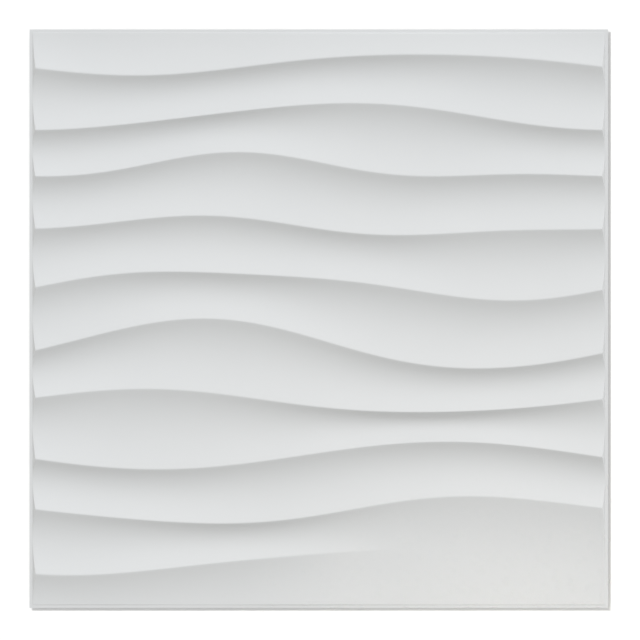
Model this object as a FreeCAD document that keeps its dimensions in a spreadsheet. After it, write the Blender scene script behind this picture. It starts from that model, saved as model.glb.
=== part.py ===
import FreeCAD
import Part
import math
import os

# A wall panel with a relief of rolling waves, formed from one sheet of plastic.
# It lies on its back: X runs along the crests, Y up the wall and Z out of the wall.
# The origin is the middle of the back, in the plane of the wall. Lengths are in millimetres.
#
# Going down the panel, the surface falls steeply from each crest into a hollow and climbs gently to
# the next crest. Seen from the front a crest is a wavy line: a long swell, one to the panel's width,
# and a short swell, two to the width, so that it meets the crest of the panel beside it.
# The lowest crest fades out to the right, where the sheet runs level from the hollow above it to the edge.
# The back is open and follows the front one sheet below it. A flat lip runs round the panel on the wall.

doc = FreeCAD.newDocument("WavePanel")

# Driving dimensions

SIZES = {
    "panel_width": 500.0,
    "panel_height": 500.0,
    "sheet_thickness": 1.0,
    "lip_width": 2.4,
    "wall_draft_degrees": 18.0,
    "crest_height": 9.4,
    "crest_round": 1.2,
    "hollow_floor": 1.4,
    "hollow_lean": 0.43,
    "fade_start": 120.0,
    "fade_end": 350.0,
}

# The crests, from the top of the panel down. The shift moves a crest down from its even place.
# A swell has its height, and the place where it tops out as a share of the width from the left.
CREST_SIZES = ("shift", "long_swell", "long_top", "short_swell", "short_top")
CRESTS = (
    (5.0, 9.0, 0.68, 1.0, 0.44),
    (0.5, 11.5, 0.53, 1.0, 0.15),
    (-5.0, 9.5, 0.36, 4.5, 0.36),
    (-4.5, 7.0, 0.25, 3.0, 0.32),
    (-5.0, 12.0, 0.31, 2.5, 0.11),
    (-2.5, 21.5, 0.29, 1.5, 0.34),
    (-3.5, 10.0, 0.19, 1.0, 0.22),
    (-7.0, 12.0, 0.72, 0.0, 0.0),
    (-9.5, 11.5, 0.79, 1.5, 0.20),
    (-15.0, 10.5, 0.60, 1.5, 0.26),
)
CREST_COUNT = len(CRESTS)

sheet = doc.addObject("Spreadsheet::Sheet", "Dimensions")
cells = list(SIZES.items())
for number, crest in enumerate(CRESTS, start=1):
    for word, value in zip(CREST_SIZES, crest):
        cells.append((f"crest_{number}_{word}", value))
for row, (alias, value) in enumerate(cells, start=1):
    sheet.set(f"A{row}", alias)
    sheet.set(f"B{row}", str(value))
    sheet.setAlias(f"B{row}", alias)
doc.recompute()


def size(alias):
    return float(getattr(sheet, alias))


# Crest lines, and the section down the panel at one place across it

panel_width = size("panel_width")
panel_height = size("panel_height")
crest_height = size("crest_height")
hollow_floor = size("hollow_floor")
crest_pitch = panel_height / CREST_COUNT


def crest_point(number, place):
    # The crests just above and below the panel are those of the next panels.
    own = f"crest_{(number - 1) % CREST_COUNT + 1}"
    even_drop = crest_pitch * (number - 0.5)
    long_turn = 2 * math.pi * (place - size(f"{own}_long_top"))
    short_turn = 4 * math.pi * (place - size(f"{own}_short_top"))
    rise = size(f"{own}_long_swell") * math.cos(long_turn)
    rise += size(f"{own}_short_swell") * math.cos(short_turn)
    drop = even_drop + size(f"{own}_shift") - rise
    return FreeCAD.Vector(panel_width * (place - 0.5), panel_height / 2 - drop, crest_height)


def hollow_point(upper, lower):
    # The hollow is a parabola that leaves both crests on the lines to this point, twice its depth down.
    drop = size("hollow_lean") * (upper.y - lower.y)
    return FreeCAD.Vector(upper.x, upper.y - drop, 2 * hollow_floor - crest_height)


def faded_share(place):
    # How much of the last crest has gone: none up to the start of its fade, all of it past the end.
    start = size("fade_start")
    share = (panel_width * place - start) / (size("fade_end") - start)
    share = min(max(share, 0.0), 1.0)
    return share ** 2 * (3 - 2 * share)


def levelled(point, share):
    return point + FreeCAD.Vector(0, 0, (hollow_floor - point.z) * share)


def towards(start, end, length):
    return start + (end - start).normalize() * length


def section_points(place):
    # The poles of the section, down the panel: hollows and crest rounds in turn, three poles to each,
    # with the last pole of one as the first pole of the next.
    crests = [crest_point(number, place) for number in range(CREST_COUNT + 2)]
    hollows = [hollow_point(upper, lower) for upper, lower in zip(crests, crests[1:])]
    crests[-2:] = [levelled(point, faded_share(place)) for point in crests[-2:]]
    hollows[-2:] = [levelled(point, faded_share(place)) for point in hollows[-2:]]
    points = [crests[0], hollows[0]]
    for crest, above, below in zip(crests[1:-1], hollows, hollows[1:]):
        points.append(towards(crest, above, size("crest_round")))
        points.append(crest)
        points.append(towards(crest, below, size("crest_round")))
        points.append(below)
    points.append(crests[-1])
    return points


# The wave block: everything under the wave surface, larger than the panel all round

SPANS_ACROSS = 16
SPANS_BEYOND = 1
BLOCK_FLOOR = -5.0
PATCH_POLES = 3

places = [step / SPANS_ACROSS for step in range(-SPANS_BEYOND, SPANS_ACROSS + SPANS_BEYOND + 1)]
sections = [section_points(place) for place in places]


def curve_across(points):
    curve = Part.BSplineCurve()
    curve.interpolate(Points=list(points), Parameters=places)
    return curve


def patch_between(curves):
    first = curves[0]
    poles = list(zip(*[curve.getPoles() for curve in curves]))
    surface = Part.BSplineSurface()
    surface.buildFromPolesMultsKnots(
        poles,
        first.getMultiplicities(),
        [PATCH_POLES, PATCH_POLES],
        first.getKnots(),
        [0.0, 1.0],
        False,
        False,
        first.Degree,
        PATCH_POLES - 1,
    )
    return surface


def on_floor(point):
    return FreeCAD.Vector(point.x, point.y, BLOCK_FLOOR)


def floor_curve(curve):
    lowered = curve.copy()
    for number, pole in enumerate(curve.getPoles(), start=1):
        lowered.setPole(number, on_floor(pole))
    return lowered


def side_wall(patches, section, place):
    top, bottom = section[0], section[-1]
    edges = [patch.uIso(place).toShape() for patch in patches]
    edges.append(Part.makeLine(bottom, on_floor(bottom)))
    edges.append(Part.makeLine(on_floor(bottom), on_floor(top)))
    edges.append(Part.makeLine(on_floor(top), top))
    return Part.Face(Part.Wire(edges))


def wave_block():
    curves = [curve_across(points) for points in zip(*sections)]
    starts = range(0, len(curves) - 1, PATCH_POLES - 1)
    patches = [patch_between(curves[start:start + PATCH_POLES]) for start in starts]
    top_edge, bottom_edge = curves[0].toShape(), curves[-1].toShape()
    top_floor, bottom_floor = floor_curve(curves[0]).toShape(), floor_curve(curves[-1]).toShape()
    floor_edges = [
        top_floor,
        Part.makeLine(on_floor(sections[-1][0]), on_floor(sections[-1][-1])),
        bottom_floor,
        Part.makeLine(on_floor(sections[0][-1]), on_floor(sections[0][0])),
    ]
    faces = [patch.toShape() for patch in patches]
    faces.append(side_wall(patches, sections[0], places[0]))
    faces.append(side_wall(patches, sections[-1], places[-1]))
    faces.append(Part.makeRuledSurface(top_edge, top_floor))
    faces.append(Part.makeRuledSurface(bottom_edge, bottom_floor))
    faces.append(Part.Face(Part.Wire(Part.__sortEdges__(floor_edges))))
    shell = Part.Shell(faces)
    shell.sewShape()
    block = Part.Solid(shell)
    if block.Volume < 0:
        block.reverse()
    return block


front_wave = doc.addObject("Part::Feature", "FrontWave")
front_wave.Shape = wave_block()
back_wave = doc.addObject("Part::Feature", "BackWave")
back_wave.Shape = front_wave.Shape
back_wave.setExpression(".Placement.Base.z", "-Dimensions.sheet_thickness")


# The drafted walls round the relief, outside and inside the sheet

def drafted_block(name, inset):
    # A wedge that stands on the plane of the wall and leans in on all four sides.
    block = doc.addObject("Part::Wedge", name)
    half_width = f"(Dimensions.panel_width / 2 - {inset})"
    half_height = f"(Dimensions.panel_height / 2 - {inset})"
    lean_in = "Dimensions.crest_height * tan(Dimensions.wall_draft_degrees)"
    block.setExpression("Ymax", "Dimensions.crest_height")
    for sign, end in (("-", "min"), ("", "max")):
        block.setExpression(f"X{end}", f"{sign}{half_width}")
        block.setExpression(f"Z{end}", f"{sign}{half_height}")
        block.setExpression(f"X2{end}", f"{sign}({half_width} - {lean_in})")
        block.setExpression(f"Z2{end}", f"{sign}({half_height} - {lean_in})")
    block.Placement.Rotation = FreeCAD.Rotation(FreeCAD.Vector(1, 0, 0), 90)
    return block


outer_walls = drafted_block("OuterWalls", "Dimensions.lip_width")
inner_walls = drafted_block("InnerWalls", "(Dimensions.lip_width + Dimensions.sheet_thickness)")


# The panel: the relief on its lip, less the open back

relief = doc.addObject("Part::Common", "Relief")
relief.Base = front_wave
relief.Tool = outer_walls
open_back = doc.addObject("Part::Common", "OpenBack")
open_back.Base = back_wave
open_back.Tool = inner_walls

lip = doc.addObject("Part::Box", "Lip")
lip.setExpression("Length", "Dimensions.panel_width")
lip.setExpression("Width", "Dimensions.panel_height")
lip.setExpression("Height", "Dimensions.sheet_thickness")
lip.setExpression(".Placement.Base.x", "-Dimensions.panel_width / 2")
lip.setExpression(".Placement.Base.y", "-Dimensions.panel_height / 2")

formed = doc.addObject("Part::Fuse", "Formed")
formed.Base = relief
formed.Tool = lip
panel = doc.addObject("Part::Cut", "Panel")
panel.Base = formed
panel.Tool = open_back
panel.Label = "wave_panel"
doc.recompute()

# Checks, then the file

for item in doc.Objects:
    if "Invalid" in item.State or "Error" in item.State:
        raise RuntimeError(f"{item.Name} failed: {item.State}")
if panel.Shape.isNull() or not panel.Shape.isValid() or len(panel.Shape.Solids) != 1:
    raise RuntimeError("the panel is not one valid solid")

os.makedirs("parts", exist_ok=True)
panel.Shape.exportStep(f"parts/{panel.Label}.step")
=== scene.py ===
import math
import bpy
import numpy as np
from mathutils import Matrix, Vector


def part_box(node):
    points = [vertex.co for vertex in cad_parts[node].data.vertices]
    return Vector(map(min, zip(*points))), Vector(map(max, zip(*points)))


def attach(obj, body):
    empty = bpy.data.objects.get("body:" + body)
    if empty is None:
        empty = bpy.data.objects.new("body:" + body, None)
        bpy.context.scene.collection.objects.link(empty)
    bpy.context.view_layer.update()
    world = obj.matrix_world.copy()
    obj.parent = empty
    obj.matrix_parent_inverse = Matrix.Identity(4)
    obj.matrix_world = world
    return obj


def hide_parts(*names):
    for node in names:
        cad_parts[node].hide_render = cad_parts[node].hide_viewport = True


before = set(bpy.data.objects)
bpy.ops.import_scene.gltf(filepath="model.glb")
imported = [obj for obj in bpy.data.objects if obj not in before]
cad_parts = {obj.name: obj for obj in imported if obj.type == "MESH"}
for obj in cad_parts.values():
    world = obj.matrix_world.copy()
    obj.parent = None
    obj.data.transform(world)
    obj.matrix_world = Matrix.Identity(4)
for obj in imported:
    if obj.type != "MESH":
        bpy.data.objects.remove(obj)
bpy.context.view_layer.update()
panelNode = "wave_panel"
panelLow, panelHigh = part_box(panelNode)
mm = 0.001  # shapes are worked out in millimetres and put into the meshes in metres
panelWidth = (panelHigh.x - panelLow.x) / mm
panelHeight = (panelHigh.y - panelLow.y) / mm
print("frame loaded, panel", round(panelWidth, 1), "x", round(panelHeight, 1), "mm")

# The formed sheet. X runs along the crests, Y up the wall, Z out of the wall.
waveSheet = {
    "sheet": 1.0,
    "lip": 2.4,
    "wallSlope": math.tan(math.radians(18)),  # how far a wall leans in for each mm that it rises
    "crestHeight": 9.4,
    "crestRound": 1.2,
    "hollowFloor": 1.4,
    "hollowLean": 0.43,  # below half, so the side under a crest is the steep one
    "fadeStart": 120.0,
    "fadeEnd": 350.0,
    "brinkRound": 0.18,  # where the relief turns down into its walls
    "footRound": 0.18,
    "lipRound": 0.15,
    "columns": 160,
    "hollowRows": 14,
    "crestRows": 6,
    "roundRings": 4,
    "roundShare": 0.4,  # the most of a wall's height that one round takes, where the wall is low
    "wallTries": 5,
    "sharpAngle": math.radians(40),
}

# One crest a row, from the top down: shift below its even place, then the long and the short swell,
# each with its height and the share of the width where it tops out.
crestLines = np.array([
    (5.0, 9.0, 0.68, 1.0, 0.44),
    (0.5, 11.5, 0.53, 1.0, 0.15),
    (-5.0, 9.5, 0.36, 4.5, 0.36),
    (-4.5, 7.0, 0.25, 3.0, 0.32),
    (-5.0, 12.0, 0.31, 2.5, 0.11),
    (-2.5, 21.5, 0.29, 1.5, 0.34),
    (-3.5, 10.0, 0.19, 1.0, 0.22),
    (-7.0, 12.0, 0.72, 0.0, 0.0),
    (-9.5, 11.5, 0.79, 1.5, 0.20),
    (-15.0, 10.5, 0.60, 1.5, 0.26),
])
crestCount = len(crestLines)


# height of each crest line up the wall at x: its even place, less its shift, plus a long cosine swell
# and a short one; the first and last lines returned are those of the panels above and below
def crestHeights(x):
    number = np.arange(crestCount + 2)
    own = crestLines[(number - 1) % crestCount]
    shift, longSwell, longTop, shortSwell, shortTop = own.T[:, :, None, None]
    place = x / panelWidth + 0.5
    evenDrop = (panelHeight / crestCount * (number - 0.5))[:, None, None]
    longRise = longSwell * np.cos(2 * np.pi * (place - longTop))
    shortRise = shortSwell * np.cos(4 * np.pi * (place - shortTop))
    return panelHeight / 2 - evenDrop - shift + longRise + shortRise


# the point that pulls a hollow down: both flanks of its parabola leave their crests towards it
def hollowPull(upper, lower):
    p = waveSheet
    pull = upper - p["hollowLean"] * (upper - lower)
    return np.stack([pull, np.full_like(pull, 2 * p["hollowFloor"] - p["crestHeight"])])


# how much of the lowest crest is gone at x, eased from none to all
def fadedShare(x):
    p = waveSheet
    share = np.clip((x + panelWidth / 2 - p["fadeStart"]) / (p["fadeEnd"] - p["fadeStart"]), 0, 1)
    return share ** 2 * (3 - 2 * share)


# poles of the section at each x, as (y and z, pole, ...): parabolas end to end, three poles each,
# hollow and crest round in turn; where the lowest crest has faded, its poles lie level with the
# hollows' floor
def sectionPoles(x):
    p = waveSheet
    upHeights = crestHeights(x)
    crests = np.stack([upHeights, np.full_like(upHeights, p["crestHeight"])])
    hollows = hollowPull(upHeights[:-1], upHeights[1:])
    gone = fadedShare(x)
    crests[1, -2:] += (p["hollowFloor"] - crests[1, -2:]) * gone
    hollows[1, -2:] += (p["hollowFloor"] - hollows[1, -2:]) * gone
    inner = crests[:, 1:-1]
    toUpper = hollows[:, :-1] - inner
    toLower = hollows[:, 1:] - inner
    upperEnd = inner + toUpper / np.linalg.norm(toUpper, axis=0) * p["crestRound"]
    lowerEnd = inner + toLower / np.linalg.norm(toLower, axis=0) * p["crestRound"]
    poles = np.empty((2, 4 * crestCount + 3) + x.shape)
    poles[:, 0], poles[:, -1] = crests[:, 0], crests[:, -1]
    poles[:, 1::4] = hollows
    poles[:, 2:-1:4] = upperEnd
    poles[:, 3:-1:4] = inner
    poles[:, 4:-1:4] = lowerEnd
    return poles


# share along a parabola at which y * ySign + z * wallSlope reaches a wall's place, from the
# quadratic's root
def wallShare(poles, ySign, place):
    first, pull, end = poles[0] * ySign + poles[1] * waveSheet["wallSlope"]
    bend = first - 2 * pull + end
    run = 2 * (pull - first)
    miss = first - place
    root = np.sqrt(run ** 2 - 4 * bend * miss)
    return 2 * miss / (-run + np.where(miss > 0, root, -root))


# the relief inside its four walls, as (row, column, xyz): rows follow the waves, so mesh lines run along
# the crests; a wall stands at inset from the panel's edge and leans in, and drop lowers the relief
def reliefGrid(inset, drop):
    p = waveSheet
    patchCount = 2 * crestCount + 1
    counts = [p["crestRows"] if patch % 2 else p["hollowRows"] for patch in range(patchCount)]
    rowPatch = np.append(np.repeat(np.arange(patchCount), counts), patchCount - 1)
    rowShare = np.append(np.concatenate([np.arange(count) / count for count in counts]), 1.0)[:, None]
    across = np.linspace(0, 1, p["columns"] + 1)[None, :]
    wallHeight = np.full((2, len(rowPatch), 1), p["crestHeight"] / 2)  # at the left and right wall
    rowIndex = np.arange(len(rowPatch))
    wallPlaceY = panelHeight / 2 - inset
    for attempt in range(p["wallTries"]):  # the walls lean, so where a row ends depends on its height there
        reach = panelWidth / 2 - inset - wallHeight * p["wallSlope"]
        x = -reach[0] + (reach[0] + reach[1]) * across
        poles = sectionPoles(x)
        poles[1] -= drop
        triple = np.stack([poles[:, 2 * rowPatch + k, rowIndex] for k in range(3)], axis=1)
        share = np.broadcast_to(rowShare, x.shape).copy()
        isTop, isBottom = rowPatch == 0, rowPatch == patchCount - 1
        topCut = wallShare(triple[:, :, isTop], 1, wallPlaceY)
        share[isTop] = topCut + (1 - topCut) * share[isTop]
        share[isBottom] *= wallShare(triple[:, :, isBottom], -1, wallPlaceY)
        first, pull, end = triple[:, 0], triple[:, 1], triple[:, 2]
        y, z = first * (1 - share) ** 2 + pull * 2 * share * (1 - share) + end * share ** 2
        wallHeight = np.stack([z[:, :1], z[:, -1:]])
    return np.stack([x, y, z], axis=-1)


# the grid's border as one loop: along the top, down the right, back along the bottom, up the left
def borderLoop(grid):
    return np.concatenate([grid[0, :-1], grid[:-1, -1], grid[-1, :0:-1], grid[:0:-1, 0]])


# the loop's four sides stretched onto a level rectangle that stands at inset from the panel's edge
def rectangleLoop(loop, rows, columns, inset, level):
    halfX, halfY = panelWidth / 2 - inset, panelHeight / 2 - inset
    starts = np.cumsum([0, columns - 1, rows - 1, columns - 1, rows - 1])
    turns = np.array([(-1, 1), (1, 1), (1, -1), (-1, -1), (-1, 1)])
    corners = turns * np.array([halfX, halfY])
    closed = np.concatenate([loop, loop[:1]])
    sides = []
    for side in range(4):
        run = closed[starts[side]:starts[side + 1] + 1, side % 2]
        share = ((run - run[0]) / (run[-1] - run[0]))[:-1, None]
        sides.append(corners[side] + (corners[side + 1] - corners[side]) * share)
    flat = np.concatenate(sides)
    return np.concatenate([flat, np.full((len(flat), 1), level)], axis=1)


def stepTo(start, end, length):
    way = end - start
    return start + way / np.linalg.norm(way, axis=1, keepdims=True) * length


# loops that turn the corner between two loops: the inner points of a parabola pulled to the corner
def turnLoops(start, corner, end, count):
    shares = np.arange(1, count) / count
    return [start * (1 - t) ** 2 + corner * 2 * t * (1 - t) + end * t ** 2 for t in shares]


def gridFaces(rows, columns, first):
    index = np.arange(rows * columns).reshape(rows, columns) + first
    quads = [index[:-1, :-1], index[1:, :-1], index[1:, 1:], index[:-1, 1:]]
    return np.stack(quads, axis=-1).reshape(-1, 4)


# the whole closed skin: front relief, round the brink, down the walls, over the lip, then up the inner
# walls to the back of the relief
def formedSheetMesh():
    p = waveSheet
    front = reliefGrid(p["lip"] + p["brinkRound"], 0.0)
    brink = borderLoop(reliefGrid(p["lip"], 0.0))
    back = reliefGrid(p["lip"] + p["sheet"], p["sheet"])
    back[..., 2] = np.maximum(back[..., 2], 0.0)  # the deepest hollows stop at the wall's plane
    rows, columns = front.shape[:2]
    footInset = p["lip"] + p["sheet"] * p["wallSlope"]
    foot = rectangleLoop(brink, rows, columns, footInset, p["sheet"])
    lipEdge = rectangleLoop(brink, rows, columns, 0.0, p["sheet"])
    wallEdge = rectangleLoop(brink, rows, columns, 0.0, 0.0)
    backFoot = rectangleLoop(brink, rows, columns, p["lip"] + p["sheet"], 0.0)
    roundRoom = p["roundShare"] * np.linalg.norm(brink - foot, axis=1, keepdims=True)
    underBrink = stepTo(brink, foot, np.minimum(p["brinkRound"], roundRoom))
    overFoot = stepTo(foot, brink, np.minimum(p["footRound"], roundRoom))
    onLip = rectangleLoop(brink, rows, columns, footInset - p["footRound"], p["sheet"])
    lipTop = rectangleLoop(brink, rows, columns, p["lipRound"], p["sheet"])
    lipSide = rectangleLoop(brink, rows, columns, 0.0, p["sheet"] - p["lipRound"])
    loops = turnLoops(borderLoop(front), brink, underBrink, p["roundRings"]) + [underBrink, overFoot]
    loops += turnLoops(overFoot, foot, onLip, p["roundRings"]) + [onLip, lipTop]
    loops += turnLoops(lipTop, lipEdge, lipSide, p["roundRings"]) + [lipSide, wallEdge, backFoot]
    points = np.concatenate([front.reshape(-1, 3), back.reshape(-1, 3)] + loops)
    gridSize = rows * columns
    gridIndex = np.arange(gridSize).reshape(rows, columns)
    loopIndex = 2 * gridSize + np.arange(len(loops) * len(brink)).reshape(len(loops), len(brink))
    frontBorder, backBorder = borderLoop(gridIndex), borderLoop(gridIndex + gridSize)
    chain = np.concatenate([frontBorder[None], loopIndex, backBorder[None]])
    onward = np.roll(chain, -1, axis=1)
    ringFaces = np.stack([chain[:-1], onward[:-1], onward[1:], chain[1:]], axis=-1).reshape(-1, 4)
    backFaces = gridFaces(rows, columns, gridSize)[:, ::-1]
    faces = np.concatenate([gridFaces(rows, columns, 0), backFaces, ringFaces])
    mesh = bpy.data.meshes.new("waveSheet")
    mesh.from_pydata((points * mm).tolist(), [], faces.tolist())
    mesh.polygons.foreach_set("use_smooth", np.ones(len(faces), bool))
    mesh.set_sharp_from_angle(angle=p["sharpAngle"])
    onBack = np.zeros(len(points))
    onBack[gridSize:2 * gridSize] = 1
    onBack[-len(brink):] = 1  # the inner walls' foot
    mesh.attributes.new("onBack", "FLOAT", "POINT").data.foreach_set("value", onBack)
    mesh.update()
    return mesh


wavePanelPiece = bpy.data.objects.new("waveSheet", formedSheetMesh())
bpy.context.scene.collection.objects.link(wavePanelPiece)
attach(wavePanelPiece, "root")
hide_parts(panelNode)
print("formed sheet:", len(wavePanelPiece.data.polygons), "faces")

# White plastic: an even matt white with faint cloudy patches and a fine grain; the back is left duller
whitePlastic = {
    "paleTone": (0.727, 0.728, 0.726, 1),
    "greyTone": (0.713, 0.715, 0.714, 1),
    "backTone": (0.66, 0.662, 0.656, 1),
    "patchScale": 9.0,  # patches of about a tenth of a metre
    "patchDetail": 3.0,
    "patchLow": 0.3,  # the noise keeps near its middle, so this part of it is widened to 0 to 1
    "patchHigh": 0.7,
    "grainScale": 650.0,  # grain of about 1.5 mm
    "grainDepth": 0.000004,
    "smoothRoughness": 0.74,
    "roughRoughness": 0.82,
    "backRoughness": 0.88,
}


# cloudy patches and a fine grain over the same coordinates, both from 0 to 1
def sheetCloudGroup():
    group = bpy.data.node_groups.new("sheetCloud", "ShaderNodeTree")
    face = group.interface
    face.new_socket("Vector", in_out="INPUT", socket_type="NodeSocketVector")
    for name in ("Patch Scale", "Patch Detail", "Grain Scale"):
        face.new_socket(name, in_out="INPUT", socket_type="NodeSocketFloat")
    for name in ("Patches", "Grain"):
        face.new_socket(name, in_out="OUTPUT", socket_type="NodeSocketFloat")
    nodes, links = group.nodes, group.links
    given = nodes.new("NodeGroupInput")
    result = nodes.new("NodeGroupOutput")
    patches = nodes.new("ShaderNodeTexNoise")
    links.new(given.outputs["Vector"], patches.inputs["Vector"])
    links.new(given.outputs["Patch Scale"], patches.inputs["Scale"])
    links.new(given.outputs["Patch Detail"], patches.inputs["Detail"])
    spread = nodes.new("ShaderNodeMapRange")
    spread.inputs["From Min"].default_value = whitePlastic["patchLow"]
    spread.inputs["From Max"].default_value = whitePlastic["patchHigh"]
    links.new(patches.outputs["Fac"], spread.inputs["Value"])
    links.new(spread.outputs["Result"], result.inputs["Patches"])
    grain = nodes.new("ShaderNodeTexNoise")
    links.new(given.outputs["Vector"], grain.inputs["Vector"])
    links.new(given.outputs["Grain Scale"], grain.inputs["Scale"])
    links.new(grain.outputs["Fac"], result.inputs["Grain"])
    return group


def mixNode(nodes, dataType):
    mix = nodes.new("ShaderNodeMix")
    mix.data_type = dataType
    return mix


def whitePlasticMaterial():
    p = whitePlastic
    material = bpy.data.materials.new("whitePvc")
    material.use_nodes = True
    nodes, links = material.node_tree.nodes, material.node_tree.links
    shader = nodes["Principled BSDF"]
    place = nodes.new("ShaderNodeTexCoord")
    cloud = nodes.new("ShaderNodeGroup")
    cloud.node_tree = sheetCloudGroup()
    cloud.inputs["Patch Scale"].default_value = p["patchScale"]
    cloud.inputs["Patch Detail"].default_value = p["patchDetail"]
    cloud.inputs["Grain Scale"].default_value = p["grainScale"]
    links.new(place.outputs["Object"], cloud.inputs["Vector"])
    back = nodes.new("ShaderNodeAttribute")
    back.attribute_name = "onBack"

    tone = mixNode(nodes, "RGBA")
    tone.inputs["A"].default_value = p["greyTone"]
    tone.inputs["B"].default_value = p["paleTone"]
    links.new(cloud.outputs["Patches"], tone.inputs["Factor"])
    toneOrBack = mixNode(nodes, "RGBA")
    links.new(back.outputs["Fac"], toneOrBack.inputs["Factor"])
    links.new(tone.outputs["Result"], toneOrBack.inputs["A"])
    toneOrBack.inputs["B"].default_value = p["backTone"]
    links.new(toneOrBack.outputs["Result"], shader.inputs["Base Color"])

    rough = mixNode(nodes, "FLOAT")
    rough.inputs["A"].default_value = p["smoothRoughness"]
    rough.inputs["B"].default_value = p["roughRoughness"]
    links.new(cloud.outputs["Grain"], rough.inputs["Factor"])
    roughOrBack = mixNode(nodes, "FLOAT")
    links.new(back.outputs["Fac"], roughOrBack.inputs["Factor"])
    links.new(rough.outputs["Result"], roughOrBack.inputs["A"])
    roughOrBack.inputs["B"].default_value = p["backRoughness"]
    links.new(roughOrBack.outputs["Result"], shader.inputs["Roughness"])

    bump = nodes.new("ShaderNodeBump")
    bump.inputs["Distance"].default_value = p["grainDepth"]
    links.new(cloud.outputs["Grain"], bump.inputs["Height"])
    links.new(bump.outputs["Normal"], shader.inputs["Normal"])
    return material


wavePanelPiece.data.materials.append(whitePlasticMaterial())
print("material: white plastic")

# Floor, lights and camera
studio = {
    "floorReach": 15.0,
    "floorDrop": 0.0030,  # sets how wide the shadow shows beside the panel
    "floorColour": (0.75, 0.75, 0.75, 1),
    "floorRoughness": 0.9,
    "floorGlow": 0.17,  # what the camera sees on top of the floor's own light
    "glowColour": (1, 1, 1, 1),
    "worldStrength": 0.615,
    "worldColour": (0.988, 1.0, 0.990, 1),
    "backdropStrength": 1.0,  # white
    "cameraPlace": (0.0010, -0.0011, 8.0),
    "pixelsAcross": 640,
    "panelPixels": 578.6,
    "sensor": 36.0,
    "cameraReach": 100.0,
}

# A lamp's tilt is its angle from straight above its aim, and its azimuth runs anticlockwise from the
# panel's top, seen from above.
keyLamp = {  # lights the panel alone, from the top and a little from the right
    "name": "keyLamp",
    "kind": "SUN",
    "strength": 1.45,
    "colour": (0.912, 0.948, 1.0),
    "spread": math.radians(12),
    "tilt": math.radians(43),
    "azimuth": math.radians(-15),
    "aim": (0.0, 0.0, 0.0),
    "away": 2.0,
}
floorLamp = {  # lights the floor alone, and draws the panel's thin shadow to the right and below
    "name": "floorLamp",
    "kind": "SUN",
    "strength": 2.45,
    "colour": (1.0, 1.0, 1.0),
    "spread": math.radians(5),
    "tilt": math.radians(41),
    "azimuth": math.radians(45),
    "aim": (0.0, 0.0, 0.0),
    "away": 2.0,
}
fillLamp = {  # a warm light over the lower right
    "name": "fillLamp",
    "kind": "SPOT",
    "strength": 20.0,
    "colour": (1.0, 0.62, 0.10),
    "spread": math.radians(17),
    "tilt": math.radians(30),
    "azimuth": math.radians(20),
    "aim": (0.17, -0.33, 0.0),
    "away": 3.0,
    "radius": 0.4,
}
cornerLamp = {  # a narrow, low light from the right, on the level corner
    "name": "cornerLamp",
    "kind": "SPOT",
    "strength": 60.0,
    "colour": (1.0, 0.92, 0.76),
    "spread": math.radians(4.4),
    "tilt": math.radians(55),
    "azimuth": math.radians(-85),
    "aim": (0.17, -0.30, 0.0),
    "away": 3.0,
    "radius": 0.08,
}


# 1 for rays from the camera, straight or by way of a mirror or glass, and 0 for rays that only
# carry light
def seenShare(nodes, links):
    lightPath = nodes.new("ShaderNodeLightPath")
    total = lightPath.outputs["Is Camera Ray"]
    for kind in ("Is Glossy Ray", "Is Transmission Ray"):
        more = nodes.new("ShaderNodeMath")
        more.operation = "MAXIMUM"
        links.new(total, more.inputs[0])
        links.new(lightPath.outputs[kind], more.inputs[1])
        total = more.outputs["Value"]
    return total


def makeFloor():
    p = studio
    r = p["floorReach"]
    mesh = bpy.data.meshes.new("floor")
    mesh.from_pydata([(-r, -r, 0), (r, -r, 0), (r, r, 0), (-r, r, 0)], [], [(0, 1, 2, 3)])
    floor = bpy.data.objects.new("floor", mesh)
    floor.location.z = -p["floorDrop"]
    bpy.context.scene.collection.objects.link(floor)
    material = bpy.data.materials.new("paleFloor")
    material.use_nodes = True
    nodes, links = material.node_tree.nodes, material.node_tree.links
    shader = nodes["Principled BSDF"]
    shader.inputs["Base Color"].default_value = p["floorColour"]
    shader.inputs["Roughness"].default_value = p["floorRoughness"]
    glow = nodes.new("ShaderNodeMapRange")
    glow.inputs["To Max"].default_value = p["floorGlow"]
    links.new(seenShare(nodes, links), glow.inputs["Value"])
    links.new(glow.outputs["Result"], shader.inputs["Emission Strength"])
    shader.inputs["Emission Color"].default_value = p["glowColour"]
    mesh.materials.append(material)
    return floor


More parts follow.
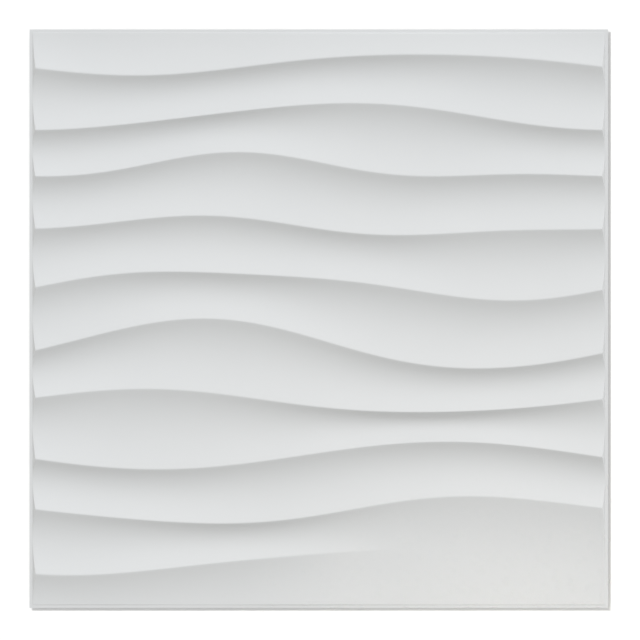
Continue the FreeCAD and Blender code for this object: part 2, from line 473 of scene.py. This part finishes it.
def makeWorld():
    p = studio
    world = bpy.data.worlds.new("studioWorld")
    bpy.context.scene.world = world
    world.use_nodes = True
    nodes, links = world.node_tree.nodes, world.node_tree.links
    background = nodes["Background"]
    background.inputs["Color"].default_value = p["worldColour"]
    strength = nodes.new("ShaderNodeMapRange")
    strength.inputs["To Min"].default_value = p["worldStrength"]
    strength.inputs["To Max"].default_value = p["backdropStrength"]
    links.new(seenShare(nodes, links), strength.inputs["Value"])
    links.new(strength.outputs["Result"], background.inputs["Strength"])


def makeLamp(p):
    light = bpy.data.lights.new(p["name"], p["kind"])
    light.energy = p["strength"]
    light.color = p["colour"]
    if p["kind"] == "SUN":
        light.angle = p["spread"]
    else:
        light.spot_size = p["spread"]
        light.spot_blend = 1.0  # full in the middle, nothing at the rim
        light.shadow_soft_size = p["radius"]
    lamp = bpy.data.objects.new(p["name"], light)
    out = math.sin(p["tilt"])
    away = Vector((-math.sin(p["azimuth"]) * out, math.cos(p["azimuth"]) * out, math.cos(p["tilt"])))
    lamp.location = Vector(p["aim"]) + away * p["away"]
    lamp.rotation_mode = "QUATERNION"
    lamp.rotation_quaternion = (-away).to_track_quat("-Z", "Y")
    bpy.context.scene.collection.objects.link(lamp)
    return lamp


# links the lamp to one object, so that no other gets its light
def lightOnly(lamp, target):
    lit = bpy.data.collections.new(lamp.name + "Target")
    lit.objects.link(target)
    lamp.light_linking.receiver_collection = lit


def makeCamera():
    p = studio
    data = bpy.data.cameras.new("camera")
    data.sensor_width = p["sensor"]
    frameWidth = panelWidth * mm * p["pixelsAcross"] / p["panelPixels"]
    data.lens = p["sensor"] * p["cameraPlace"][2] / frameWidth
    data.clip_end = p["cameraReach"]
    camera = bpy.data.objects.new("camera", data)
    camera.location = p["cameraPlace"]
    bpy.context.scene.collection.objects.link(camera)
    bpy.context.scene.camera = camera


floor = makeFloor()
makeWorld()
lightOnly(makeLamp(keyLamp), wavePanelPiece)
makeLamp(fillLamp)
makeLamp(cornerLamp)
lightOnly(makeLamp(floorLamp), floor)
makeCamera()
bpy.context.scene.view_settings.view_transform = "Standard"
print("studio: floor, world, four lamps and camera")
